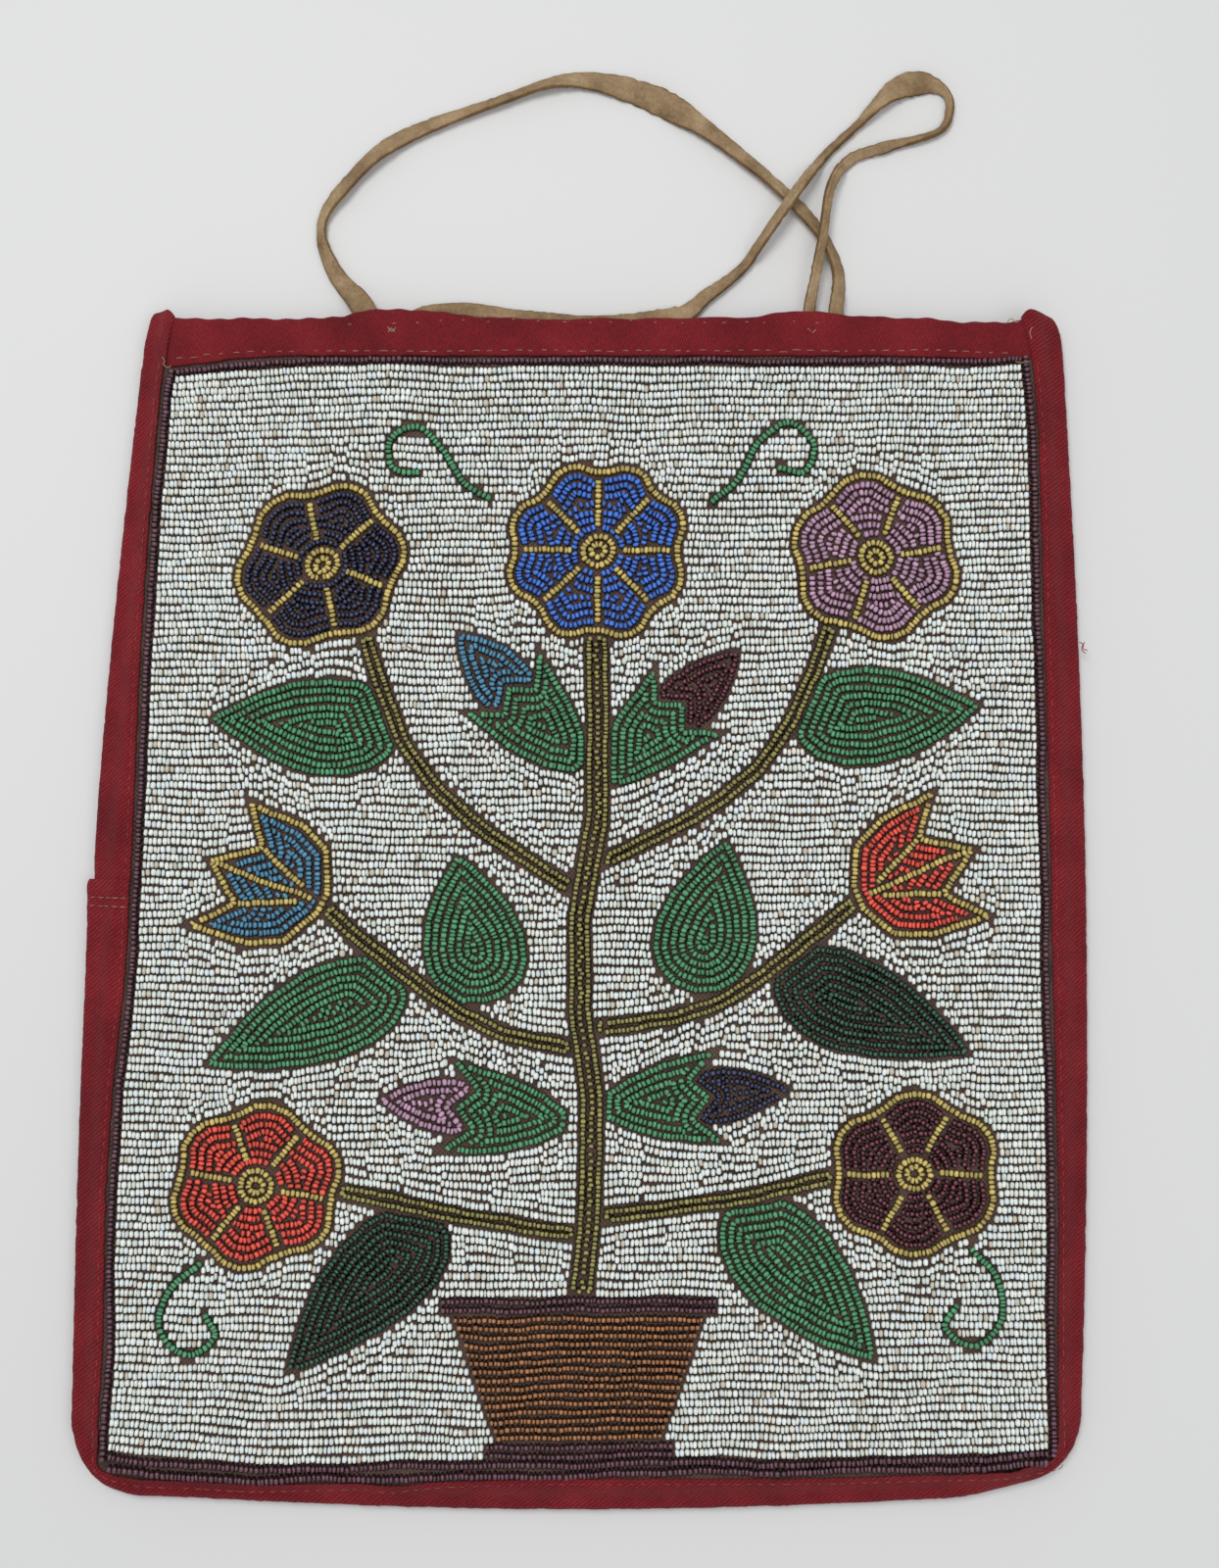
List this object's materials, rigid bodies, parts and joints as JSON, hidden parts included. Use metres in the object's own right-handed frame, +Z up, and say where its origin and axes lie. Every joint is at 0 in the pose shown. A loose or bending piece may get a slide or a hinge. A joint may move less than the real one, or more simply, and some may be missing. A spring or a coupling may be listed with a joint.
{
  "type": "beaded bag",
  "caption": "Flat pouch with a glass-beaded floral front, wool-bound edges, an open mouth at the top and two hide handles; it lies on its back.",
  "frame": {"origin": "on the flat underside of the back panel, at the middle of the bag's body", "axes": "+Z up from the back panel to the beaded front; +Y from the base to the mouth; +X to the right, seen from the front"},
  "size_m": [0.2673, 0.3838, 0.0101],
  "materials": {
    "white_beads": "opaque glossy glass",
    "plum_beads": "opaque glossy glass",
    "green_beads": "opaque glossy glass",
    "dark_green_beads": "opaque glossy glass",
    "olive_beads": "opaque glossy glass",
    "ochre_beads": "opaque glossy glass",
    "navy_beads": "opaque glossy glass",
    "teal_beads": "opaque glossy glass",
    "blue_beads": "opaque glossy glass",
    "lilac_beads": "opaque glossy glass",
    "red_beads": "opaque glossy glass",
    "maroon_beads": "opaque glossy glass",
    "brown_beads": "opaque glossy glass",
    "wool": "red twill wool",
    "ground_cloth": "dark brown cloth",
    "hide": "soft tan suede",
    "back_hide": "soft tan suede"
  },
  "bodies": {
    "root": {"back_handle": "hide", "back_panel": "back_hide", "base_border": "plum_beads", "bowl": "brown_beads", "bowl_foot": "plum_beads", "bowl_rim": "plum_beads", "crown_flower_eye": "ochre_beads", "crown_flower_outline": "ochre_beads", "crown_flower_petals": "blue_beads", "front_handle": "hide", "front_panel": "ground_cloth", "high_left_bud_calyx": "green_beads", "high_left_bud_tip": "teal_beads", "high_right_bud_calyx": "green_beads", "high_right_bud_tip": "maroon_beads", "left_border": "plum_beads", "left_cup_outline": "ochre_beads", "left_cup_petals": "teal_beads", "left_high_branch": "olive_beads", "left_high_flower_eye": "ochre_beads", "left_high_flower_outline": "ochre_beads", "left_high_flower_petals": "navy_beads", "left_leaf_1": "green_beads", "left_leaf_2": "green_beads", "left_leaf_3": "green_beads", "left_leaf_4": "dark_green_beads", "left_low_branch": "olive_beads", "left_low_flower_eye": "ochre_beads", "left_low_flower_outline": "ochre_beads", "left_low_flower_petals": "red_beads", "left_mid_branch": "olive_beads", "left_upper_binding": "wool", "low_left_bud_calyx": "green_beads", "low_left_bud_tip": "lilac_beads", "low_right_bud_calyx": "green_beads", "low_right_bud_tip": "navy_beads", "lower_binding": "wool", "right_binding": "wool", "right_border": "plum_beads", "right_cup_outline": "ochre_beads", "right_cup_petals": "red_beads", "right_high_branch": "olive_beads", "right_high_flower_eye": "ochre_beads", "right_high_flower_outline": "ochre_beads", "right_high_flower_petals": "lilac_beads", "right_leaf_1": "green_beads", "right_leaf_2": "green_beads", "right_leaf_3": "dark_green_beads", "right_leaf_4": "green_beads", "right_low_branch": "olive_beads", "right_low_flower_eye": "ochre_beads", "right_low_flower_outline": "ochre_beads", "right_low_flower_petals": "maroon_beads", "right_mid_branch": "olive_beads", "top_binding": "wool", "top_border": "plum_beads", "trunk": "olive_beads", "white_beads": "white_beads"}
  },
  "joints": []
}
